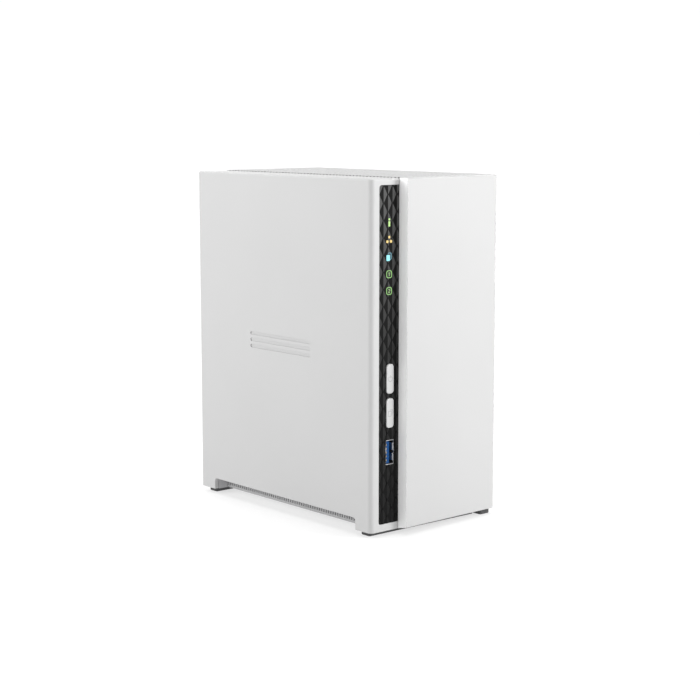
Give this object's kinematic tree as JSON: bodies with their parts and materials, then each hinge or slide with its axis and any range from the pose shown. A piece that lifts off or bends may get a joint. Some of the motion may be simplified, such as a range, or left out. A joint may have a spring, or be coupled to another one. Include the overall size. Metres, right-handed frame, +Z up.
{
  "type": "network attached storage",
  "caption": "Upright desktop storage box with a removable cover, dark control strip, buttons, status lights, drives on end and a rear fan.",
  "frame": {"origin": "centre of the footprint on the surface the feet stand on", "axes": "+Z up, the front faces -Y, +X to the right seen from the front"},
  "size_m": [0.0902, 0.1562, 0.1886],
  "materials": {
    "white_shell": "fine satin texture",
    "grey_plastic": "fine matt",
    "black_bezel": "semi-gloss, faceted",
    "green_light": "lit",
    "amber_light": "lit",
    "blue_light": "lit",
    "white_button": "satin",
    "circuit_board": "solder mask",
    "black_plastic": "moulded",
    "led_body": "clear cap",
    "screw_steel": "zinc",
    "thumbscrew_metal": "nickel",
    "socket_steel": "tin plated",
    "blue_plastic": "moulded",
    "contact_brass": "plated",
    "foot_rubber": "matt",
    "rear_metal": "powder coat",
    "fan_plastic": "moulded",
    "sink_aluminium": "extruded",
    "capacitor_can": "sleeved",
    "battery_steel": "stamped",
    "lead_sleeve": "sleeve",
    "drive_metal": "cast and stamped",
    "tray_plastic": "moulded",
    "cage_steel": "galvanised sheet"
  },
  "bodies": {
    "chassis": {"backplane": "circuit_board", "base_frame": "grey_plastic", "base_screws": "screw_steel", "battery_holder": "black_plastic", "board_chips": "black_plastic", "board_screws": "screw_steel", "board_to_backplane_link": "black_plastic", "button_switches": "black_plastic", "buzzer": "black_plastic", "capacitors": "capacitor_can", "clock_battery": "battery_steel", "drive_1": "drive_metal", "drive_1_light": "green_light", "drive_2": "drive_metal", "drive_2_light": "green_light", "drive_cage": "cage_steel", "drive_screws": "screw_steel", "drive_sockets": "black_plastic", "drive_tray_1": "tray_plastic", "drive_tray_2": "tray_plastic", "fan_frame": "fan_plastic", "fan_header": "black_plastic", "fan_lead": "lead_sleeve", "fan_screws": "screw_steel", "front_board": "circuit_board", "front_board_link": "black_plastic", "front_foot": "foot_rubber", "front_usb_shell": "socket_steel", "front_usb_tongue": "blue_plastic", "heat_sink": "sink_aluminium", "indicator_leds": "led_body", "left_shell": "white_shell", "main_board": "circuit_board", "network_contacts": "contact_brass", "network_light": "amber_light", "network_socket": "socket_steel", "power_coils": "black_plastic", "power_inlet": "black_plastic", "power_inlet_pin": "contact_brass", "processor": "black_plastic", "rear_foot": "foot_rubber", "rear_panel": "rear_metal", "rear_panel_screws": "screw_steel", "rear_usb_shell_1": "socket_steel", "rear_usb_shell_2": "socket_steel", "rear_usb_tongues": "blue_plastic", "reset_switch": "black_plastic", "status_light": "green_light", "strip_insert": "black_bezel", "usb_light": "blue_light"},
    "cover": {"cover": "white_shell", "cover_front_foot": "foot_rubber", "cover_rear_foot": "foot_rubber"},
    "power_button": {"power_button": "white_button"},
    "copy_button": {"copy_button": "white_button"},
    "reset_button": {"reset_button": "white_button"},
    "fan_rotor": {"fan_rotor": "fan_plastic"},
    "upper_thumbscrew": {"upper_thumbscrew": "thumbscrew_metal"},
    "lower_thumbscrew": {"lower_thumbscrew": "thumbscrew_metal"}
  },
  "joints": [
    {"name": "cover_slide", "type": "slide", "parent": "chassis", "child": "cover", "axis": [0, -1, 0], "range_m": [0, 0.16]},
    {"name": "power_button_press", "type": "slide", "parent": "chassis", "child": "power_button", "axis": [0, 1, 0], "range_m": [0, 0.0008], "stiffness_N_per_m": 700},
    {"name": "copy_button_press", "type": "slide", "parent": "chassis", "child": "copy_button", "axis": [0, 1, 0], "range_m": [0, 0.0008], "stiffness_N_per_m": 700},
    {"name": "reset_button_press", "type": "slide", "parent": "chassis", "child": "reset_button", "axis": [0, -1, 0], "range_m": [0, 0.0006], "stiffness_N_per_m": 700},
    {"name": "fan_spin", "type": "hinge", "parent": "chassis", "child": "fan_rotor", "pos_m": [0.0015, 0.062, 0.136], "axis": [0, 1, 0], "continuous": true},
    {"name": "upper_thumbscrew_turn", "type": "hinge", "parent": "chassis", "child": "upper_thumbscrew", "pos_m": [0.0382, 0.0754, 0.1813], "axis": [0, 1, 0], "continuous": true},
    {"name": "lower_thumbscrew_turn", "type": "hinge", "parent": "chassis", "child": "lower_thumbscrew", "pos_m": [0.0382, 0.0754, 0.0161], "axis": [0, 1, 0], "continuous": true}
  ]
}
